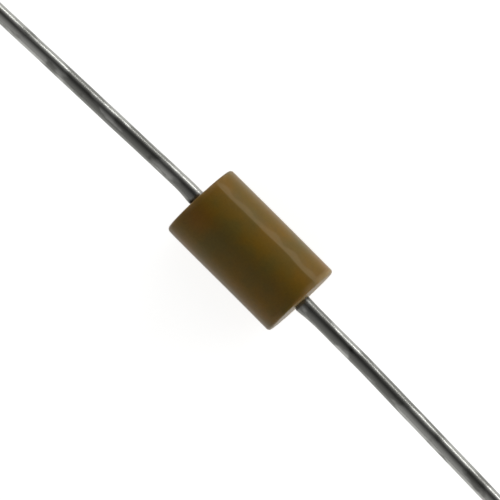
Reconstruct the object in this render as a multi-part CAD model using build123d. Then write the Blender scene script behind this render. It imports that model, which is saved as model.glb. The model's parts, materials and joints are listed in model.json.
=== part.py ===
from build123d import *

import os
from math import cos, radians, tan

# Axial ceramic capacitor with a moulded epoxy case, in millimetres, +Z up.
# +X runs along the case. The origin is on the surface that the part lies on,
# right under the middle of the case, whose axis is one case radius above it.
# Inside the case a multilayer chip is soldered between two nail-head wires.
# The wires droop and swing a little to the same side, so the case lies along
# its lowest line and both wire tips touch the surface, which stops it rolling.
# What touches is face to face: each filled space is cut with its own filling.

# Case: one solid of resin, moulded round the chip, the joints and the wires
CASE_DIAMETER = 2.54
CASE_LENGTH = 4.2
CASE_EDGE_RADIUS = 0.1
END_SKEW_DEG = 2.3  # how far both end faces stand out of square, the same way
COLLAR_HEIGHT = 0.1  # resin drawn up each wire where it leaves the case
COLLAR_RADIUS = 0.06
COLLAR_WALL = 0.02  # resin round the wire at the collar's rim

# Leads: tinned copper wire, upset to a flat head at the inner end
WIRE_DIAMETER = 0.48
LEAD_LENGTH = 25.4  # from the end of the case to the tip, along X
HEAD_DIAMETER = 0.95
HEAD_THICKNESS = 0.2
HEAD_EDGE_RADIUS = 0.04
EXIT_RUN = 0.5  # straight wire outside the case, up to the first bend
BEND_RADIUS = 9.0
LEFT_SWING_DEG = 1.97  # towards -Y, from the first bend on
RIGHT_SWING_DEG = 1.38  # towards -Y, from the second bend on
RIGHT_SECOND_BEND = 2.6  # from the end of the case

# Chip: a ceramic block with metal plates fired into it
CHIP_LENGTH = 1.92
CHIP_WIDTH = 1.17
CHIP_HEIGHT = 1.17
CHIP_EDGE_RADIUS = 0.06
PLATE_COUNT = 12
PLATE_THICKNESS = 0.01
COVER_LAYER = 0.14  # bare ceramic over the top plate and under the lowest
SIDE_MARGIN = 0.15  # bare ceramic beside each plate
END_MARGIN = 0.25  # bare ceramic between a plate's free end and the other cap

# Terminations: fired metal caps that wrap the chip's ends
CAP_THICKNESS = 0.04
CAP_BAND = 0.35  # how far a cap reaches along the chip

# Solder: a disc between cap and head, flared out on to the cap
SOLDER_GAP = 0.06  # between the cap's face and the wire's head
SOLDER_FOOT = 0.05  # how far the cap's face shows round the solder
SOLDER_RIM = 0.02  # solder outside the head's rim, at its back

LEFT, RIGHT = -1, 1
SIDES = {"left": LEFT, "right": RIGHT}

AXIS_HEIGHT = CASE_DIAMETER / 2
WIRE_RADIUS = WIRE_DIAMETER / 2
CAP_FACE = CHIP_LENGTH / 2 + CAP_THICKNESS  # from the middle of the case
HEAD_FACE = CAP_FACE + SOLDER_GAP
HEAD_BACK = HEAD_FACE + HEAD_THICKNESS
CASE_END = CASE_LENGTH / 2

FROM_BASE = (Align.CENTER, Align.CENTER, Align.MIN)


def facing_out(side, distance):
    """Place on the case's axis, with local +Z pointing out of that side."""
    return Pos(side * distance, 0, AXIS_HEIGHT) * Rot(0, side * 90, 0)


def on_axis(shape):
    """Shape built round the world's origin, moved to the middle of the case."""
    return Pos(0, 0, AXIS_HEIGHT) * shape


def chip_block():
    """Outside of the ceramic chip, with no plates cut into it."""
    block = Box(CHIP_LENGTH, CHIP_WIDTH, CHIP_HEIGHT)
    return on_axis(fillet(block.edges(), CHIP_EDGE_RADIUS))


def electrode(number):
    """One plate. Odd ones meet the left cap, and even ones the right cap."""
    side = LEFT if number % 2 else RIGHT
    pitch = (CHIP_HEIGHT - 2 * COVER_LAYER - PLATE_THICKNESS) / (PLATE_COUNT - 1)
    bottom = COVER_LAYER - CHIP_HEIGHT / 2 + (number - 1) * pitch
    plate = Box(
        CHIP_LENGTH - END_MARGIN,
        CHIP_WIDTH - 2 * SIDE_MARGIN,
        PLATE_THICKNESS,
        align=FROM_BASE,
    )
    return on_axis(Pos(side * END_MARGIN / 2, 0, bottom) * plate)


def termination(side):
    """Metal cap over one end of the chip."""
    reach = CAP_BAND + CAP_THICKNESS
    cap = Box(CHIP_WIDTH + 2 * CAP_THICKNESS, CHIP_HEIGHT + 2 * CAP_THICKNESS, reach)
    outside = cap.edges() - cap.faces().sort_by(Axis.Z)[0].edges()
    cap = fillet(outside, CHIP_EDGE_RADIUS + CAP_THICKNESS)
    # Box stands on local X and Y: a quarter turn puts the chip's height upright
    placed = facing_out(side, CAP_FACE - reach / 2) * Rot(0, 0, 90) * cap
    return placed - chip_block()


def wire_stub(side, reach):
    """Head and straight wire of one lead, out to a distance from the middle."""
    head = Cylinder(HEAD_DIAMETER / 2, HEAD_THICKNESS, align=FROM_BASE)
    head = fillet(head.edges().filter_by(GeomType.CIRCLE), HEAD_EDGE_RADIUS)
    wire = Cylinder(WIRE_RADIUS, reach - HEAD_FACE, align=FROM_BASE)
    return facing_out(side, HEAD_FACE) * (head + wire)


def lead_route(side):
    """Corners of the wire's centre line, from its head to its tip."""
    tip = CASE_END + LEAD_LENGTH
    first = CASE_END + EXIT_RUN
    second = CASE_END + RIGHT_SECOND_BEND
    slope = (AXIS_HEIGHT - WIRE_RADIUS) / (tip - first)
    swing = tan(radians(LEFT_SWING_DEG if side == LEFT else RIGHT_SWING_DEG))
    corners = [(HEAD_BACK, 0, AXIS_HEIGHT), (first, 0, AXIS_HEIGHT)]
    if side == RIGHT:
        corners.append((second, 0, AXIS_HEIGHT - slope * (second - first)))
    swing_from = corners[-1][0]
    corners.append((tip, -swing * (tip - swing_from), WIRE_RADIUS))
    return [(side * x, y, z) for x, y, z in corners]


def lead(side):
    """Wire with its head, bent so that its tip meets the surface."""
    corners = lead_route(side)
    path = FilletPolyline(*corners, radius=[BEND_RADIUS] * (len(corners) - 2))
    section = Plane(corners[0], z_dir=(side, 0, 0)) * Circle(WIRE_RADIUS)
    return wire_stub(side, HEAD_BACK) + sweep(section, path=path)


def solder_joint(side):
    """Solder between one cap and the head of its wire, flared on to the cap."""
    foot = min(CHIP_WIDTH, CHIP_HEIGHT) / 2 + CAP_THICKNESS - SOLDER_FOOT
    rim = HEAD_DIAMETER / 2 + SOLDER_RIM
    flare = Cone(foot, rim, HEAD_BACK - CAP_FACE, align=FROM_BASE)
    return facing_out(side, CAP_FACE) * flare - wire_stub(side, CASE_END)


def case():
    """Moulded resin, with its own space for everything that it encloses."""
    skew = Rot(0, 0, -END_SKEW_DEG)
    between_ends = CASE_LENGTH * cos(radians(END_SKEW_DEG))
    room = 2 * CASE_DIAMETER
    rod = Rot(0, 90, 0) * Cylinder(CASE_DIAMETER / 2, 2 * CASE_LENGTH)
    body = on_axis(rod & skew * Box(between_ends, room, room))
    rims = body.edges().filter_by(GeomType.ELLIPSE)
    body = fillet(rims, CASE_EDGE_RADIUS)
    collar = Cylinder(WIRE_RADIUS + COLLAR_WALL, 2 * COLLAR_HEIGHT)
    for side in SIDES.values():
        body += facing_out(side, CASE_END) * collar
    roots = body.edges().filter_by(GeomType.ELLIPSE).sort_by(SortBy.LENGTH)[:2]
    body = fillet(roots, COLLAR_RADIUS)
    for side in SIDES.values():
        body -= termination(side)
        body -= solder_joint(side)
        body -= wire_stub(side, CASE_END + 2 * COLLAR_HEIGHT)
    return body - chip_block()


def build():
    """Every piece of the capacitor, by the name of its node."""
    pieces = {"case": case(), "ceramic_chip": chip_block()}
    for number in range(1, PLATE_COUNT + 1):
        plate = electrode(number)
        pieces[f"electrode_{number:02d}"] = plate
        pieces["ceramic_chip"] -= plate
    for name, side in SIDES.items():
        pieces[f"termination_{name}"] = termination(side)
        pieces[f"solder_{name}"] = solder_joint(side)
        pieces[f"lead_{name}"] = lead(side)
    return pieces


os.makedirs("parts", exist_ok=True)
for node, shape in build().items():
    export_step(shape, f"parts/{node}.step")
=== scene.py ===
"""Looks of a small moulded axial ceramic capacitor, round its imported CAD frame, in metres."""

import json
import logging
import math
from dataclasses import dataclass
from enum import Enum

import bmesh
import bpy
from mathutils import Matrix, Vector, noise


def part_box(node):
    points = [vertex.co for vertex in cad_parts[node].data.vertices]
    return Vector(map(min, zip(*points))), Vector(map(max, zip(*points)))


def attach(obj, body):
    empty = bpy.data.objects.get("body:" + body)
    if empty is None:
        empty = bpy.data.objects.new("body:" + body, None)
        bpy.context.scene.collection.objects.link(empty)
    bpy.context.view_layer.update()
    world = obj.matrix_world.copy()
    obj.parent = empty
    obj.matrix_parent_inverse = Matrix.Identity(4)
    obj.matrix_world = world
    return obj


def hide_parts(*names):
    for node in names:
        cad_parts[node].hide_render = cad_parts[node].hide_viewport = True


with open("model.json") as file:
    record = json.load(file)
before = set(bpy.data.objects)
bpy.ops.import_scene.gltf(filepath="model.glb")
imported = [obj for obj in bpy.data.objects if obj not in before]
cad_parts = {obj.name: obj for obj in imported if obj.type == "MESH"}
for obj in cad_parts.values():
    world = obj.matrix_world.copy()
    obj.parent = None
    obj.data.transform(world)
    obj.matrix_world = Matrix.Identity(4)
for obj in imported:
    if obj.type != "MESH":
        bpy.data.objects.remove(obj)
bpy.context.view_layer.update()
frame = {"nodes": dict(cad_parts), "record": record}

MM = 0.001
MICRON = 1e-6
SAME_PLACE = MICRON / 10  # points nearer than this are one point
COLOUR_A, COLOUR_B, COLOUR_OUT = 6, 7, 2  # sockets of a Mix node that mixes colours
log = logging.getLogger("capacitor")


def linear(hex_colour: str) -> tuple[float, float, float, float]:
    """Turns an sRGB hex colour into linear RGBA.

    Args:
        hex_colour: six hex digits after a hash, such as "#70582e".

    Returns:
        Linear red, green and blue, and an alpha of 1.
    """
    parts = [int(hex_colour[i : i + 2], 16) / 255 for i in (1, 3, 5)]
    red, green, blue = (
        c / 12.92 if c <= 0.04045 else ((c + 0.055) / 1.055) ** 2.4 for c in parts
    )
    return red, green, blue, 1.0


def per_mm(size: float) -> float:
    """Texture scale at which one feature of a pattern is about this many millimetres across."""
    return 1 / (size * MM)


def clamp(value: float) -> float:
    """The value, kept between 0 and 1."""
    return min(1.0, max(0.0, value))


def lumps(place: Vector, size_mm: float, along: float = 1.0) -> float:
    """Smooth noise through space.

    Args:
        place: where to read it.
        size_mm: about how wide one rise or fall is.
        along: how fast it changes along X, against 1 across it. Less than 1 gives long lumps.

    Returns:
        A value between about -1 and 1, always the same at the same place.
    """
    return noise.noise(Vector((place.x * along, place.y, place.z)) * per_mm(size_mm))


def wander(x: float, size_mm: float, row: tuple[float, float]) -> float:
    """Smooth noise along the part.

    Args:
        x: where along the part.
        size_mm: about how long one rise or fall is.
        row: where across the noise to read it, so that two uses differ.

    Returns:
        A value between about -1 and 1, always the same at the same place.
    """
    return noise.noise(Vector((x * per_mm(size_mm), *row)))


def add_node(
    tree: bpy.types.NodeTree,
    kind: str,
    inputs: dict[str | int, object] | None = None,
    **settings: object,
) -> bpy.types.Node:
    """Adds one node, with its settings, its constants and its links.

    Args:
        tree: the node tree that it goes into.
        kind: Blender's type name of the node.
        inputs: socket name or number, to a constant or to the output socket that feeds it.
        settings: the node's own properties.

    Returns:
        The new node.
    """
    node = tree.nodes.new(kind)
    for name, value in settings.items():
        setattr(node, name, value)
    for socket, value in (inputs or {}).items():
        if isinstance(value, bpy.types.NodeSocket):
            tree.links.new(value, node.inputs[socket])
        else:
            node.inputs[socket].default_value = value
    return node


def new_material(name: str) -> tuple[bpy.types.Material, bpy.types.NodeTree]:
    """Makes a material with an empty node tree.

    Args:
        name: the material's name.

    Returns:
        The material and its node tree.
    """
    material = bpy.data.materials.new(name)
    material.use_nodes = True
    material.node_tree.nodes.clear()
    return material, material.node_tree


def close_material(tree: bpy.types.NodeTree, shader: bpy.types.Node) -> None:
    """Feeds the material's output from a shader node."""
    add_node(tree, "ShaderNodeOutputMaterial", {"Surface": shader.outputs[0]})


@dataclass(frozen=True)
class MouldedEpoxy:
    """Mineral-filled moulding epoxy, as it leaves a polished steel mould, later soldered and handled."""

    brown: str = "#7a5b16"
    olive: str = "#6b5923"
    rust: str = "#8a5810"
    # Pale colour of rubbed rims, also used as painted light on the rims and end faces and as the painted
    # highlight beside the seam.
    worn: str = "#a8936f"
    ior: float = 1.5
    gloss: float = 0.14
    rubbed_gloss: float = 0.02
    rubbed_at: float = 0.5  # share of the pale mix, rubbing and painted light, at which only the rubbed gloss is left
    roughness: float = 0.34
    # tone of the half of the skin away from +Y, painted darker as painted shade
    half_tone: float = 0.97
    cloud_mm: float = 1.2
    cloud_range: tuple[float, float] = (0.38, 0.62)
    patch_mm: float = 1.9
    patch_range: tuple[float, float] = (0.55, 0.75)
    patch_tint: float = 0.5
    # The filler's grains are some microns wide, and are drawn coarser to show
    grain_mm: float = 0.07
    grain_range: tuple[float, float] = (0.3, 0.7)
    grain_tone: tuple[float, float] = (0.95, 1.05)
    peel_mm: float = 0.16
    peel_height: float = 1.6 * MICRON
    glow: float = 0.12
    glow_colour: tuple[float, float, float] = (1.0, 0.45, 0.18)
    glow_depth: float = 0.35 * MM

    def material(self) -> bpy.types.Material:
        """Makes the material.

        Returns:
            A semi-gloss tan brown: resin and filler separate into faint clouds of brown and olive
            with rust patches, the filler shows as a very fine grain, soldering warms the ends to a rust
            tint, and a little light passes under the skin. Painted shade darkens the half of the skin on
            the far side of the seam from +Y. Painted light: a pale strip beside that seam is a painted
            highlight, the end faces are painted pale, most towards +Y, and the rims are pale and matt,
            partly from rubbing and partly as painted light.
        """
        material, tree = new_material("moulded_epoxy")
        place = add_node(tree, "ShaderNodeTexCoord").outputs["Object"]
        clouds, patches, grain, peel = (
            add_node(
                tree, "ShaderNodeTexNoise", {"Vector": place, "Scale": per_mm(size), "Detail": detail}
            ).outputs["Fac"]
            for size, detail in (
                (self.cloud_mm, 4.0),
                (self.patch_mm, 1.0),
                (self.grain_mm, 2.0),
                (self.peel_mm, 2.0),
            )
        )
        half, heat, wear_and_painted_light = (
            add_node(tree, "ShaderNodeAttribute", attribute_name=name).outputs["Fac"]
            for name in ("mould_half", "soldering_heat", "rim_wear")
        )
        olive, warmth, specks = (
            add_node(
                tree,
                "ShaderNodeMapRange",
                {"Value": pattern, "From Min": low, "From Max": high, "To Min": start, "To Max": end},
            ).outputs["Result"]
            for pattern, (low, high), (start, end) in (
                (clouds, self.cloud_range, (0.0, 1.0)),
                (patches, self.patch_range, (0.0, self.patch_tint)),
                (grain, self.grain_range, self.grain_tone),
            )
        )
        # Painted shade: the half of the skin away from +Y is darkened to this tone.
        tone = add_node(
            tree, "ShaderNodeMapRange", {"Value": half, "To Min": 1.0, "To Max": self.half_tone}
        ).outputs["Result"]
        shine = add_node(
            tree,
            "ShaderNodeMapRange",
            {"Value": wear_and_painted_light, "From Max": self.rubbed_at, "To Min": self.gloss, "To Max": self.rubbed_gloss},
        ).outputs["Result"]
        warmest = add_node(tree, "ShaderNodeMath", {0: warmth, 1: heat}, operation="MAXIMUM").outputs[0]
        value = add_node(tree, "ShaderNodeMath", {0: tone, 1: specks}, operation="MULTIPLY").outputs[0]
        tint = add_node(
            tree,
            "ShaderNodeMix",
            {"Factor": olive, COLOUR_A: linear(self.brown), COLOUR_B: linear(self.olive)},
            data_type="RGBA",
        ).outputs[COLOUR_OUT]
        warmed = add_node(
            tree,
            "ShaderNodeMix",
            {"Factor": warmest, COLOUR_A: tint, COLOUR_B: linear(self.rust)},
            data_type="RGBA",
        ).outputs[COLOUR_OUT]
        speckled = add_node(
            tree, "ShaderNodeHueSaturation", {"Value": value, "Color": warmed}
        ).outputs["Color"]
        # Pale mix: rubbed rims, with painted light on the rims and end faces and a painted highlight beside
        # the seam.
        colour = add_node(
            tree,
            "ShaderNodeMix",
            {"Factor": wear_and_painted_light, COLOUR_A: speckled, COLOUR_B: linear(self.worn)},
            data_type="RGBA",
        ).outputs[COLOUR_OUT]
        bump = add_node(
            tree, "ShaderNodeBump", {"Height": peel, "Distance": self.peel_height, "Strength": 1.0}
        )
        shader = add_node(
            tree,
            "ShaderNodeBsdfPrincipled",
            {
                "Base Color": colour,
                "Roughness": self.roughness,
                "IOR": self.ior,
                "Specular IOR Level": shine,
                "Subsurface Weight": self.glow,
                "Subsurface Radius": self.glow_colour,
                "Subsurface Scale": self.glow_depth,
                "Normal": bump.outputs["Normal"],
            },
        )
        close_material(tree, shader)
        return material


@dataclass(frozen=True)
class DrawnMetal:
    """A metal whose colour and polish wander in patches, with shallow dents and fine lines along X.

    Each size in mm is a pair: along X, and across it.
    """

    name: str
    bright: str
    dull: str
    roughness: tuple[float, float]
    patch_mm: tuple[float, float] = (1.3, 0.55)
    # Draw lines are some microns wide, and are drawn coarser to show
    line_mm: tuple[float, float] = (2.5, 0.03)
    line_height: float = 0.35 * MICRON
    dent_mm: tuple[float, float] = (0.9, 0.3)
    dent_height: float = 5 * MICRON
    patch_range: tuple[float, float] = (0.465, 0.535)
    polish_range: tuple[float, float] = (0.3, 0.7)
    flux: str = "#2b2926"  # colour of a full stain, and of the painted shade where a wire leaves the case

    def material(self) -> bpy.types.Material:
        """Makes the material.

        Returns:
            Bare metal, with each pattern longer along X than across it, and dark where flux stained it and
            where shade is painted next to the case.
        """
        material, tree = new_material(self.name)
        place = add_node(tree, "ShaderNodeTexCoord").outputs["Object"]
        stain = add_node(tree, "ShaderNodeAttribute", attribute_name="flux_stain").outputs["Fac"]
        stretched = (
            add_node(
                tree,
                "ShaderNodeMapping",
                {"Vector": place, "Scale": (per_mm(along), per_mm(across), per_mm(across))},
            ).outputs["Vector"]
            for along, across in (self.patch_mm, self.line_mm, self.dent_mm)
        )
        patches, lines, dents = (
            add_node(
                tree, "ShaderNodeTexNoise", {"Vector": vector, "Scale": 1.0, "Detail": detail}
            ).outputs["Fac"]
            for vector, detail in zip(stretched, (3.0, 1.0, 1.0))
        )
        dulled, polish = (
            add_node(
                tree,
                "ShaderNodeMapRange",
                {"Value": patches, "From Min": low, "From Max": high, "To Min": start, "To Max": end},
            ).outputs["Result"]
            for (low, high), (start, end) in (
                (self.patch_range, (0.0, 1.0)),
                (self.polish_range, self.roughness),
            )
        )
        metal = add_node(
            tree,
            "ShaderNodeMix",
            {"Factor": dulled, COLOUR_A: linear(self.bright), COLOUR_B: linear(self.dull)},
            data_type="RGBA",
        ).outputs[COLOUR_OUT]
        colour = add_node(
            tree,
            "ShaderNodeMix",
            {"Factor": stain, COLOUR_A: metal, COLOUR_B: linear(self.flux)},
            data_type="RGBA",
        ).outputs[COLOUR_OUT]
        dented = add_node(
            tree, "ShaderNodeBump", {"Height": dents, "Distance": self.dent_height, "Strength": 1.0}
        )
        bump = add_node(
            tree,
            "ShaderNodeBump",
            {
                "Height": lines,
                "Distance": self.line_height,
                "Strength": 1.0,
                "Normal": dented.outputs["Normal"],
            },
        )
        shader = add_node(
            tree,
            "ShaderNodeBsdfPrincipled",
            {
                "Base Color": colour,
                "Metallic": 1.0,
                "Roughness": polish,
                "Normal": bump.outputs["Normal"],
            },
        )
        close_material(tree, shader)
        return material


# Copper wire hot-dipped in tin and some years old: grey, still glossy, with dull patches and draw lines
TINNED_COPPER = DrawnMetal("tinned_copper", "#9e9e9a", "#747470", (0.16, 0.32))
# Tin-based solder left to freeze: frosty, with rounded lumps and no draw lines to speak of
SOLDER = DrawnMetal("solder", "#b4b4b8", "#9a9a9e", (0.3, 0.45), (0.2, 0.2), (0.05, 0.05))
# Silver paste fired on to the chip's ends: pale, matt and slightly sintered
FIRED_SILVER = DrawnMetal("fired_silver", "#d2cec4", "#bdb8ac", (0.5, 0.65), (0.15, 0.15), (0.02, 0.02))
# Nickel plates fired inside the ceramic: a dull warm grey film
PLATE_NICKEL = DrawnMetal("plate_nickel", "#9d978d", "#857f76", (0.45, 0.6), (0.1, 0.1), (0.02, 0.02))


@dataclass(frozen=True)
class FiredCeramic:
    """Barium titanate, pressed, fired and tumbled."""

    pale: str = "#a88a66"
    dark: str = "#8f7352"
    speck: str = "#5f4b38"
    ior: float = 2.2
    roughness: float = 0.5
    cloud_mm: float = 0.4
    cloud_range: tuple[float, float] = (0.35, 0.65)
    # Fired grains are about a micron wide, and are drawn coarser to show
    grain_mm: float = 0.03
    grain_range: tuple[float, float] = (0.6, 0.8)
    grain_tint: float = 0.6
    grain_height: float = 1.5 * MICRON

    def material(self) -> bpy.types.Material:
        """Makes the material.

        Returns:
            A dense, matt tan ceramic with soft clouds and dark specks of its grain.
        """
        material, tree = new_material("barium_titanate")
        place = add_node(tree, "ShaderNodeTexCoord").outputs["Object"]
        clouds, grain = (
            add_node(
                tree, "ShaderNodeTexNoise", {"Vector": place, "Scale": per_mm(size), "Detail": 2.0}
            ).outputs["Fac"]
            for size in (self.cloud_mm, self.grain_mm)
        )
        darker, specks = (
            add_node(
                tree,
                "ShaderNodeMapRange",
                {"Value": pattern, "From Min": low, "From Max": high, "To Max": most},
            ).outputs["Result"]
            for pattern, (low, high), most in (
                (clouds, self.cloud_range, 1.0),
                (grain, self.grain_range, self.grain_tint),
            )
        )
        tint = add_node(
            tree,
            "ShaderNodeMix",
            {"Factor": darker, COLOUR_A: linear(self.pale), COLOUR_B: linear(self.dark)},
            data_type="RGBA",
        ).outputs[COLOUR_OUT]
        colour = add_node(
            tree,
            "ShaderNodeMix",
            {"Factor": specks, COLOUR_A: tint, COLOUR_B: linear(self.speck)},
            data_type="RGBA",
        ).outputs[COLOUR_OUT]
        bump = add_node(
            tree, "ShaderNodeBump", {"Height": grain, "Distance": self.grain_height, "Strength": 1.0}
        )
        shader = add_node(
            tree,
            "ShaderNodeBsdfPrincipled",
            {
                "Base Color": colour,
                "Roughness": self.roughness,
                "IOR": self.ior,
                "Normal": bump.outputs["Normal"],
            },
        )
        close_material(tree, shader)
        return material


@dataclass(frozen=True)
class WhiteTable:
    """A plain white table top. It shows white to the eye and in reflections, and keeps a soft shadow."""

    colour: str = "#efefed"
    shown: float = 0.77

    def material(self) -> bpy.types.Material:
        """Makes the material.

        Returns:
            A matt white, with light added that only the camera, gloss and glass see.
        """
        material, tree = new_material("white_table")
        rays = add_node(tree, "ShaderNodeLightPath").outputs
        seen = rays["Is Camera Ray"]
        for other in ("Is Glossy Ray", "Is Transmission Ray"):
            seen = add_node(
                tree, "ShaderNodeMath", {0: seen, 1: rays[other]}, operation="MAXIMUM"
            ).outputs[0]
        level = add_node(tree, "ShaderNodeMath", {0: seen, 1: self.shown}, operation="MULTIPLY").outputs[0]
        matt = add_node(tree, "ShaderNodeBsdfDiffuse", {"Color": linear(self.colour)})
        lit = add_node(tree, "ShaderNodeEmission", {"Strength": level})
        close_material(tree, add_node(tree, "ShaderNodeAddShader", {0: matt.outputs[0], 1: lit.outputs[0]}))
        return material


class Side(Enum):
    """The two ends of the part, by the sign of X."""

    LEFT = -1
    RIGHT = 1

    @property
    def node(self) -> str:
        """Name of the CAD node of this end's lead."""
        return f"lead_{self.name.lower()}"


def wire_mount(side: Side) -> dict:
    """Finds the record's mount of one end's wire.

    Args:
        side: which end.

    Returns:
        The mount, which gives the wire's tip, its direction and its radius.
    """
    return next(m for m in frame["record"]["mounts"] if m["name"] == f"{side.node}_wire")


def finish_piece(
    mesh: bmesh.types.BMesh, name: str, material: bpy.types.Material
) -> bpy.types.Object:
    """Turns a bmesh into a smooth-shaded piece of the part that stands for a CAD node.

    Args:
        mesh: the finished shape, in its place.
        name: the piece's name. The CAD node that it stands for has the same name.
        material: its finish.

    Returns:
        The new object.
    """
    bmesh.ops.recalc_face_normals(mesh, faces=mesh.faces)
    data = bpy.data.meshes.new(name)
    mesh.to_mesh(data)
    mesh.free()
    data.materials.append(material)
    data.polygons.foreach_set("use_smooth", [True] * len(data.polygons))
    piece = bpy.data.objects.new(f"{name}_skin", data)
    bpy.context.scene.collection.objects.link(piece)
    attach(piece, "root")
    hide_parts(name)
    log.info("%s: %d faces", piece.name, len(data.polygons))
    return piece


@dataclass
class Case:
    """Moulded resin body: a short cylinder with rounded rims, round a space for the chip."""

    rim_radius: float = 0.1 * MM
    rim_segments: int = 8
    skew_deg: float = 2.3
    full_collar: float = 0.1 * MM  # how far the frame's case reaches past its own end faces
    collar_height: float = 0.015 * MM
    collar_radius: float = 0.006 * MM
    collar_segments: int = 5
    collar_wall: float = 0.012 * MM
    chamber_gap: float = 0.02 * MM
    turns: int = 384
    slices: int = 40  # cuts across each half of the skin
    skin_from: float = 0.8  # share of the radius past which a point is on the skin
    waviness: float = 6 * MICRON
    wave_mm: float = 0.8
    wave_along: float = 0.4
    seam_height: float = 16 * MICRON
    seam_width: float = 0.14 * MM
    seam_crest: float = 0.03 * MM  # how far from its middle a seam's top is still rounded
    seam_reach: float = 0.5  # sine of the angle from a seam past which it raises nothing
    seam_angle: float = math.radians(31.5)  # round the axis, from the top towards +Y
    seam_wander: float = math.radians(2.5)
    seam_wander_mm: float = 0.9
    seam_row: tuple[float, float] = (7.3, 1.9)
    half_edge: float = 0.05 * MM  # width of the change from the darker half's painted shade to the paler half's tone
    # Painted highlight: a pale strip beside the seam on its +Y side, shaped by these sizes.
    trim_width: float = 0.24 * MM
    trim_uneven: float = 0.45
    trim_uneven_mm: float = 0.4
    trim_row: tuple[float, float] = (2.7, 5.1)
    trim_near_edge: float = 0.03 * MM
    trim_far_edge: float = 0.08 * MM
    trim_wear: float = 0.2
    rough_mm: float = 0.35
    rim_reach: float = 0.2 * MM  # how far from a rim's corner the paleness goes
    # Paleness of every rim: partly rubbing, partly painted light.
    rim_wear: float = 0.14
    rim_uneven: float = 0.35
    corner_rub: float = 0.9  # painted light, added to the right end's rim towards +Y
    face_wear: float = 0.75
    face_even: float = 0.62  # share of the painted light on the end faces that is the same all over. The rest grows towards +Y, the side that the lamps are on
    heat_reach: float = 0.45 * MM
    heat_tint: float = 0.35
    heat_even: float = 0.5
    heat_uneven: float = 1.2
    corner_wear: float = 0.012 * MM  # worn off the left end's rim, towards -Y
    corner_power: int = 4

    def __post_init__(self) -> None:
        """Reads the sizes that the frame gives."""
        low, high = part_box("case")
        self.radius = (high.y - low.y) / 2
        self.axis_height = (high.z + low.z) / 2
        self.end = high.x - self.full_collar
        self.wire_radius = wire_mount(Side.RIGHT)["dims"]["r_mm"] * MM
        self.collar_rim = self.wire_radius + self.collar_wall

    def profile(self) -> list[tuple[float, float]]:
        """Corners of the section's right half, as (along the axis, from the axis).

        Returns:
            The corners, from the middle of the chamber through the bore to the middle of the skin.
        """
        chip_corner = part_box("ceramic_chip")[1]
        chamber = math.hypot(chip_corner.y, chip_corner.z - self.axis_height) + self.chamber_gap
        head_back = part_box("solder_right")[1].x
        collar_end = self.end + self.collar_height
        return [
            (0.0, chamber),
            (head_back, chamber),
            (head_back, self.wire_radius),
            (collar_end, self.wire_radius),
            (collar_end, self.collar_rim),
            (self.end, self.collar_rim),
            (self.end, self.radius),
            (0.0, self.radius),
        ]

    def build(self) -> bmesh.types.BMesh:
        """Builds the body along X, round its axis, and moves it to its place.

        Returns:
            The closed shape, with its chamber and bores.
        """
        mesh = bmesh.new()
        corners = [mesh.verts.new((x, 0, r)) for x, r in self.profile()]
        edges = [mesh.edges.new(pair) for pair in zip(corners, corners[1:])]
        bmesh.ops.mirror(mesh, geom=corners + edges, axis="X", merge_dist=SAME_PLACE)
        bmesh.ops.spin(
            mesh,
            geom=mesh.verts[:] + mesh.edges[:],
            axis=(1, 0, 0),
            cent=(0, 0, 0),
            angle=math.tau,
            steps=self.turns,
            use_merge=True,
        )
        bmesh.ops.remove_doubles(mesh, verts=mesh.verts, dist=SAME_PLACE)
        self.round_rings(mesh, self.radius, self.rim_radius, self.rim_segments)
        self.round_rings(mesh, self.collar_rim, self.collar_radius, self.collar_segments)
        long_edges = [
            e
            for e in mesh.edges
            if abs(e.verts[0].co.x - e.verts[1].co.x) > self.end / 2
            and all(self.on_skin(v.co) for v in e.verts)
        ]
        bmesh.ops.subdivide_edges(mesh, edges=long_edges, cuts=self.slices, use_grid_fill=True)
        self.age(mesh)
        bmesh.ops.translate(mesh, verts=mesh.verts, vec=(0, 0, self.axis_height))
        return mesh

    def on_skin(self, place: Vector) -> bool:
        """Whether a point of the body, round its own axis, is on the skin or on a rim."""
        return math.hypot(*place.yz) > self.skin_from * self.radius

    def round_rings(self, mesh: bmesh.types.BMesh, ring_radius: float, size: float, segments: int) -> None:
        """Rounds the ring edge of this radius at each end face.

        Args:
            mesh: the body.
            ring_radius: radius of the rings to round.
            size: radius of the rounding.
            segments: steps of the rounding.
        """
        rings = [
            e
            for e in mesh.edges
            if all(
                abs(abs(v.co.x) - self.end) < MICRON and abs(math.hypot(*v.co.yz) - ring_radius) < MICRON
                for v in e.verts
            )
        ]
        bmesh.ops.bevel(
            mesh,
            geom=rings,
            offset=size,
            offset_type="OFFSET",
            segments=segments,
            profile=0.5,
            affect="EDGES",
            material=-1,
            clamp_overlap=True,
        )

    def age(self, mesh: bmesh.types.BMesh) -> None:
        """Gives the skin its seams, waves and rubbing, with painted light and painted shade, paints the end
        faces pale as painted light, and sets both ends askew.

        Args:
            mesh: the body, along X round its axis.
        """
        layers = mesh.verts.layers.float
        wear_and_painted_light, half, heat = (layers.new(name) for name in ("rim_wear", "mould_half", "soldering_heat"))
        skew = math.tan(math.radians(self.skew_deg))
        for v in mesh.verts:
            x, y, z = v.co
            out = math.hypot(y, z)
            if self.on_skin(v.co):
                beside = math.atan2(y, z) - self.crest(x)
                rough = lumps(v.co, self.rough_mm)
                # Rim paleness: partly rubbing, partly painted light that grows towards +Y at the right end.
                rim = max(0.0, 1 - math.hypot(self.end - abs(x), self.radius - out) / self.rim_reach)
                # The pale strip beside the seam here is a painted highlight.
                v[wear_and_painted_light] = max(0.0, rim * self.rub(x, y, rough), self.trim_wear * self.trimmed(x, beside))
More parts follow.
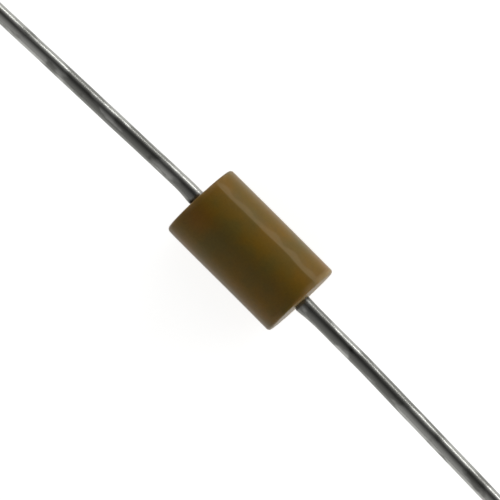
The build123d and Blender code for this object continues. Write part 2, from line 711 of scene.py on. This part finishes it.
                # Painted shade: 1 on the side of the seam away from +Y, which is painted darker, 0 on the
                # side facing +Y.
                v[half] = clamp(0.5 - math.sin(beside) * self.radius / self.half_edge)
                v[heat] = self.warmth(x, rough)
                raised = self.waviness * lumps(v.co, self.wave_mm, self.wave_along) + self.seam(beside)
                v.co.yz = v.co.yz * (1 + raised / out)
                if x < 0 and y < 0:
                    worn_off = self.corner_wear * rim * (-y / self.radius) ** self.corner_power
                    v.co.yz = v.co.yz * (1 - worn_off / out)
                    v.co.x += worn_off
            # Painted light: the end faces are painted pale, most towards +Y, as if lit from that side.
            if abs(x) > self.end - MICRON and out > self.wire_radius + MICRON:
                lean = self.face_even + (1 - self.face_even) * y / self.radius
                v[wear_and_painted_light] = max(v[wear_and_painted_light], self.face_wear * lean)
            v.co.x += skew * y

    def crest(self, x: float) -> float:
        """Angle of the parting seam round the axis, from the top towards +Y, at a place along the body."""
        return self.seam_angle + self.seam_wander * wander(x, self.seam_wander_mm, self.seam_row)

    def rub(self, x: float, y: float, rough: float) -> float:
        """How pale a rim is: rubbed unevenly, and painted paler towards +Y at the right end as painted
        light.

        Args:
            x: where along the body.
            y: where across it.
            rough: the noise there.

        Returns:
            Paleness of the rim's corner, which fades away from it.
        """
        corner = self.corner_rub * max(0.0, y / self.radius) if x > 0 else 0.0
        return self.rim_wear + self.rim_uneven * rough + corner

    def warmth(self, x: float, rough: float) -> float:
        """How far soldering has tinted the skin: most at the ends, in patches.

        Args:
            x: where along the body.
            rough: the noise there.

        Returns:
            Share of the rust tint.
        """
        inwards = max(0.0, self.end - abs(x))
        patches = max(0.0, self.heat_even + self.heat_uneven * rough)
        return self.heat_tint * math.exp(-inwards / self.heat_reach) * patches

    def seam(self, beside: float) -> float:
        """Height of the parting ridges that the two halves of the mould leave, on opposite sides.

        Args:
            beside: angle past the first seam.

        Returns:
            How far the skin stands out there.
        """
        across = abs(math.sin(beside))
        if across >= self.seam_reach:
            return 0.0
        from_crest = math.hypot(across * self.radius, self.seam_crest)
        return self.seam_height * math.exp(-from_crest / self.seam_width)

    def trimmed(self, x: float, beside: float) -> float:
        """How much of the painted highlight a place has: a pale strip beside the seam, on its +Y side.

        Args:
            x: where along the body.
            beside: angle past the first seam.

        Returns:
            From 0 outside the strip to 1 inside it. Its edge at the seam is sharp, and its far edge is
            uneven and soft.
        """
        across = math.sin(beside) * self.radius
        uneven = self.trim_uneven * wander(x, self.trim_uneven_mm, self.trim_row)
        width = self.trim_width * (1 + uneven)
        return clamp(across / self.trim_near_edge) * clamp((width - across) / self.trim_far_edge)

    def dress(self) -> bpy.types.Object:
        """Builds the piece and gives it its finish."""
        return finish_piece(self.build(), "case", MouldedEpoxy().material())


@dataclass(frozen=True)
class FluxStain:
    """A dark spot on the tin of one wire, darkest in its middle. Most are burnt flux; those right at the
    case's end are painted shade.
    """

    side: Side
    beyond: float  # from the end of the case to its middle
    turn: float  # angle round the wire, from the top towards +Y
    length: float  # from its middle to its edge, along the wire
    width: float  # from its middle to its edge, round the wire
    strength: float  # darkness of its middle. Above 1, a wider middle is fully dark


@dataclass
class Lead:
    """Tinned wire with an upset head, from inside the case to its tip on the surface."""

    side: Side
    length: float = 25.4 * MM
    head_radius: float = 0.475 * MM
    head_thickness: float = 0.2 * MM
    head_edge: float = 0.04 * MM
    first_bend: float = 0.5 * MM
    second_bend: float = 2.6 * MM
    bend_radius: float = 9.0 * MM
    bend_steps: int = 6
    tip_edge: float = 0.03 * MM
    sides: int = 40
    pitch: float = 0.08 * MM
    least_steps: int = 2
    flare: float = 0.045 * MM
    flare_length: float = 0.4 * MM
    flare_starts: float = 0.02 * MM  # from the end of the case
    flare_foot: float = 0.05 * MM  # over which the tin rises from the plain wire
    flare_even: float = 0.6
    flare_lean: float = 0.4  # how far the flare leans to the -Y side
    flare_lumps: float = 5.0  # what the flare adds to the lumps' height, as a multiple of it
    waviness: float = 4 * MICRON
    lump_mm: float = 0.35
    lump_along: float = 0.35
    stain_slant: float = 0.5  # how far the stains turn round the wire as they go along it
    stains: tuple[FluxStain, ...] = (
        # Painted shade on the -Y side, where the left wire leaves the case.
        FluxStain(Side.LEFT, 0.06 * MM, math.radians(-50), 0.2 * MM, 0.12 * MM, 1.6),
        FluxStain(Side.LEFT, 1.85 * MM, math.radians(-25), 0.1 * MM, 0.14 * MM, 0.5),
        FluxStain(Side.LEFT, 4.6 * MM, math.radians(-40), 0.08 * MM, 0.1 * MM, 0.4),
        # Painted shade on the -Y side, where the right wire leaves the case.
        FluxStain(Side.RIGHT, 0.02 * MM, math.radians(-60), 0.05 * MM, 0.1 * MM, 1.0),
        FluxStain(Side.RIGHT, 2.02 * MM, math.radians(8), 0.14 * MM, 0.09 * MM, 1.0),
        FluxStain(Side.RIGHT, 5.6 * MM, math.radians(20), 0.3 * MM, 0.05 * MM, 0.5),
    )

    def __post_init__(self) -> None:
        """Reads where the wire starts and ends in the frame."""
        low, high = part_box(self.side.node)
        mount = wire_mount(self.side)
        self.wire_radius = mount["dims"]["r_mm"] * MM
        self.tip = Vector(mount["pos_m"])
        self.axis_height = high.z - self.head_radius
        self.head_back = min(abs(low.x), abs(high.x)) + self.head_thickness
        self.case_end = abs(self.tip.x) - self.length

    def route(self) -> list[Vector]:
        """Corners of the centre line, from the back of the head to the tip.

        Returns:
            Three corners on the left, and four on the right, which swings aside after its second bend.
        """
        sign = self.side.value
        start = Vector((sign * self.head_back, 0, self.axis_height))
        first = Vector((sign * (self.case_end + self.first_bend), 0, self.axis_height))
        corners = [start, first]
        if self.side is Side.RIGHT:
            share = (self.second_bend - self.first_bend) / (self.length - self.first_bend)
            drop = share * (self.axis_height - self.tip.z)
            second = sign * (self.case_end + self.second_bend)
            corners.append(Vector((second, 0, self.axis_height - drop)))
        return corners + [self.tip]

    def centre_line(self) -> list[tuple[Vector, Vector]]:
        """Points along the wire, with its direction at each.

        Returns:
            (point, direction) pairs: straight runs, with an arc tangent to both runs at each corner.
        """
        corners = self.route()
        runs = [(b - a).normalized() for a, b in zip(corners, corners[1:])]
        bends = [self.bend_radius * math.tan(a.angle(b) / 2) for a, b in zip(runs, runs[1:])]
        cuts = [0.0, *bends, 0.0]
        stations = []
        for i, run in enumerate(runs):
            a = corners[i] + run * cuts[i]
            b = corners[i + 1] - run * cuts[i + 1]
            steps = max(self.least_steps, round((b - a).length / self.pitch))
            stations += [(a.lerp(b, k / steps), run) for k in range(steps + 1)]
            if i + 1 < len(runs):
                corner, ahead = corners[i + 1], runs[i + 1]
                turned = corner + ahead * cuts[i + 1]
                for k in range(1, self.bend_steps):
                    t = k / self.bend_steps
                    point = b.lerp(corner, t).lerp(corner.lerp(turned, t), t)
                    stations.append((point, run.slerp(ahead, t)))
        return stations

    def swelling(self, point: Vector, out: Vector) -> float:
        """How far the tin stands out from the plain wire at a point of its surface.

        Args:
            point: the surface point on the plain wire.
            out: direction out of the wire there.

        Returns:
            Metres outwards: slow lumps in the tin, and a flare of it where the wire leaves the case.
        """
        beyond = (abs(point.x) - self.case_end - self.flare_starts) / self.flare_length
        if beyond < 0:
            return 0.0
        tin = self.waviness * lumps(point, self.lump_mm, self.lump_along)
        leaning = self.flare_even - self.flare_lean * out.y
        foot = clamp(beyond * self.flare_length / self.flare_foot)
        near = math.exp(-beyond * beyond)
        return foot * (tin * (1 + self.flare_lumps * near) + self.flare * leaning * near)

    def rings(self, stations: list[tuple[Vector, Vector]]) -> list[tuple[Vector, Vector, float]]:
        """Rings of the wire's surface, from the face of its head to its tip.

        Args:
            stations: the centre line.

        Returns:
            (centre, direction, radius) of each ring.
        """
        start, run = stations[0]
        head = start - run * self.head_thickness
        edge = self.head_edge
        end, last_run = stations[-1]
        return [
            (head, run, self.head_radius - edge),
            (head + run * edge, run, self.head_radius),
            (start - run * edge, run, self.head_radius),
            (start, run, self.head_radius - edge),
            *((point, direction, self.wire_radius) for point, direction in stations[:-1]),
            (end - last_run * self.tip_edge, last_run, self.wire_radius),
            (end, last_run, self.wire_radius - self.tip_edge),
        ]

    def build(self) -> bmesh.types.BMesh:
        """Builds the wire in its place: a disc drawn out ring by ring along the centre line.

        Returns:
            The closed shape.
        """
        mesh = bmesh.new()
        stations = self.centre_line()
        rings = self.rings(stations)
        head, run, size = rings[0]
        turned = run.to_track_quat("Z", "Y").to_matrix().to_4x4()
        bmesh.ops.create_circle(
            mesh,
            cap_ends=True,
            segments=self.sides,
            radius=size,
            matrix=Matrix.Translation(head) @ turned,
        )
        edges = mesh.edges[:]
        for (at, along, size), (to, ahead, wide) in zip(rings, rings[1:]):
            drawn = bmesh.ops.extrude_edge_only(mesh, edges=edges)["geom"]
            edges = [g for g in drawn if isinstance(g, bmesh.types.BMEdge) and g.is_boundary]
            bend = along.rotation_difference(ahead).to_matrix()
            for v in drawn:
                if isinstance(v, bmesh.types.BMVert):
                    v.co = to + bend @ (v.co - at) * (wide / size)
        bmesh.ops.contextual_create(mesh, geom=edges)
        self.coat(mesh, stations)
        return mesh

    def coat(self, mesh: bmesh.types.BMesh, stations: list[tuple[Vector, Vector]]) -> None:
        """Lets the tin stand out in lumps and a flare, stains it, and paints shade on it beside the case.

        Args:
            mesh: the plain wire.
            stations: its centre line.
        """
        darkened = mesh.verts.layers.float.new("flux_stain")
        for v in mesh.verts:
            if abs(v.co.x) > self.head_back:
                out = (v.co - self.centre_at(v.co.x, stations)).normalized()
                v[darkened] = self.stain(v.co, out)
                v.co += out * self.swelling(v.co, out)

    def stain(self, point: Vector, out: Vector) -> float:
        """How dark the flux stains and the painted shade are at a point of the wire's surface.

        Args:
            point: the surface point.
            out: direction out of the wire there.

        Returns:
            From 0 for clean tin to 1 for the middle of a mark.
        """
        dark = 0.0
        for mark in self.stains:
            if mark.side is self.side:
                along = (abs(point.x) - self.case_end - mark.beyond) / mark.length
                across = (math.atan2(out.y, out.z) - mark.turn) * self.wire_radius / mark.width
                away = math.hypot(along, across + self.stain_slant * along)
                dark = max(dark, mark.strength * (1 - away))
        return min(1.0, dark)

    def centre_at(self, x: float, stations: list[tuple[Vector, Vector]]) -> Vector:
        """Point of the centre line abreast of a given X.

        Args:
            x: where along the part.
            stations: the centre line.

        Returns:
            The centre line's point there.
        """
        low, high = 0, len(stations) - 1
        while high - low > 1:
            middle = (low + high) // 2
            if abs(stations[middle][0].x) <= abs(x):
                low = middle
            else:
                high = middle
        a, b = stations[low][0], stations[high][0]
        return a.lerp(b, (x - a.x) / (b.x - a.x))

    def dress(self, finish: bpy.types.Material) -> bpy.types.Object:
        """Builds the piece and gives it its finish."""
        return finish_piece(self.build(), self.side.node, finish)


@dataclass
class ChipAssembly:
    """The hidden CAD nodes: ceramic block, plates, caps and solder, each with its own finish."""

    block: FiredCeramic = FiredCeramic()
    plates: DrawnMetal = PLATE_NICKEL
    caps: DrawnMetal = FIRED_SILVER
    joints: DrawnMetal = SOLDER

    def dress(self) -> None:
        """Gives every hidden node its material."""
        finishes = {
            "ceramic_chip": self.block.material(),
            "electrode": self.plates.material(),
            "termination": self.caps.material(),
            "solder": self.joints.material(),
        }
        for name, node in frame["nodes"].items():
            for start, material in finishes.items():
                if name.startswith(start):
                    node.data.materials.clear()
                    node.data.materials.append(material)
                    log.info("%s: %s", name, material.name)


@dataclass
class SoftLamp:
    """A rectangular softbox that faces the part."""

    name: str
    azimuth: float  # degrees, from +X towards +Y
    elevation: float  # degrees above the table
    distance: float
    width: float
    height: float
    radiance: float  # brightness of its face
    colour: str = "#ffffff"

    def build(self) -> bpy.types.Object:
        """Makes the lamp.

        Returns:
            The lamp's object. Its power is worked out from the brightness that its face should have.
        """
        data = bpy.data.lights.new(self.name, "AREA")
        data.shape = "RECTANGLE"
        data.size, data.size_y = self.width, self.height
        data.energy = self.radiance * math.pi * self.width * self.height
        data.color = linear(self.colour)[:3]
        lamp = bpy.data.objects.new(self.name, data)
        turn, rise = math.radians(self.azimuth), math.radians(self.elevation)
        level = math.cos(rise)
        back = Vector((level * math.cos(turn), level * math.sin(turn), math.sin(rise)))
        facing = back.to_track_quat("Z", "Y").to_matrix().to_4x4()
        lamp.matrix_world = Matrix.Translation(back * self.distance) @ facing
        lamp.visible_camera = False
        bpy.context.scene.collection.objects.link(lamp)
        return lamp


@dataclass
class Studio:
    """White table, soft lamps, a dim surround and a long-lens camera that looks almost straight down."""

    table_radius: float = 3.0
    table_sides: int = 96
    lens: float = 600.0
    sensor: float = 36.0
    clip: tuple[float, float] = (MM, 10.0)
    view_width: float = 14.5 * MM
    tilt_deg: float = 2.9
    along_right: float = 0.7081  # how far along X one step to the right of the view goes
    aim: tuple[float, float] = (-0.0024 * MM, 0.0103 * MM)  # from the case's middle, right and up
    dark_lean_deg: float = 13.0
    overhead: float = 0.09
    horizon: float = 0.82
    falloff: float = 1.4

    def build(self) -> None:
        """Builds the whole studio."""
        self.table()
        self.surround()
        self.camera()
        for lamp in self.lamps():
            lamp.build()
        bpy.context.scene.view_settings.view_transform = "Standard"

    def lamps(self) -> list[SoftLamp]:
        """The softboxes: a narrow bright strip, a broad dimmer one beside it, and one off each end."""
        return [
            SoftLamp("strip_lamp", 85, 13, distance=0.4, width=0.6, height=0.035, radiance=6.0),
            SoftLamp("side_lamp", 85, 16, distance=0.5, width=0.8, height=0.3, radiance=0.9),
            SoftLamp("right_lamp", 35, 5, distance=0.5, width=0.5, height=0.08, radiance=4.5),
            SoftLamp("left_lamp", 145, 5, distance=0.5, width=0.5, height=0.08, radiance=4.5),
        ]

    def table(self) -> None:
        """Makes the table top that the part lies on."""
        mesh = bmesh.new()
        bmesh.ops.create_circle(
            mesh, cap_ends=True, segments=self.table_sides, radius=self.table_radius
        )
        data = bpy.data.meshes.new("table")
        mesh.to_mesh(data)
        mesh.free()
        data.materials.append(WhiteTable().material())
        table = bpy.data.objects.new("table", data)
        bpy.context.scene.collection.objects.link(table)

    def surround(self) -> None:
        """Makes the world: a dark band overhead, along X, that pales towards the horizon at both sides."""
        world = bpy.data.worlds.new("surround")
        bpy.context.scene.world = world
        world.use_nodes = True
        tree = world.node_tree
        tree.nodes.clear()
        direction = add_node(tree, "ShaderNodeTexCoord").outputs["Generated"]
        lean = math.radians(self.dark_lean_deg)
        across = (0, math.cos(lean), -math.sin(lean))
        side = add_node(
            tree, "ShaderNodeVectorMath", {0: direction, 1: across}, operation="DOT_PRODUCT"
        ).outputs["Value"]
        away = add_node(tree, "ShaderNodeMath", {0: side}, operation="ABSOLUTE").outputs[0]
        eased = add_node(tree, "ShaderNodeMath", {0: away, 1: self.falloff}, operation="POWER").outputs[0]
        level = add_node(
            tree,
            "ShaderNodeMapRange",
            {"Value": eased, "To Min": self.overhead, "To Max": self.horizon},
        )
        glow = add_node(tree, "ShaderNodeBackground", {"Strength": level.outputs["Result"]})
        add_node(tree, "ShaderNodeOutputWorld", {"Surface": glow.outputs[0]})

    def camera(self) -> None:
        """Makes the camera, turned so that the part lies across the view from corner to corner."""
        data = bpy.data.cameras.new("camera")
        data.lens, data.sensor_width = self.lens, self.sensor
        data.clip_start, data.clip_end = self.clip
        tilt = math.radians(self.tilt_deg)
        back = Vector((math.sin(tilt), 0, math.cos(tilt)))
        right = Vector((self.along_right, math.sqrt(1 - self.along_right**2), 0))
        right = (right - back * right.dot(back)).normalized()
        up = back.cross(right)
        low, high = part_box("case")
        target = (low + high) / 2 + right * self.aim[0] + up * self.aim[1]
        distance = self.view_width * self.lens / self.sensor
        camera = bpy.data.objects.new("camera", data)
        facing = Matrix((right, up, back)).transposed().to_4x4()
        camera.matrix_world = Matrix.Translation(target + back * distance) @ facing
        bpy.context.scene.collection.objects.link(camera)
        bpy.context.scene.camera = camera


def main() -> None:
    """Builds the studio and every piece in order."""
    logging.basicConfig(level=logging.INFO, format="%(name)s: %(message)s")
    Studio().build()
    ChipAssembly().dress()
    Case().dress()
    tin = TINNED_COPPER.material()
    for side in Side:
        Lead(side).dress(tin)


if __name__ == "__main__":
    main()
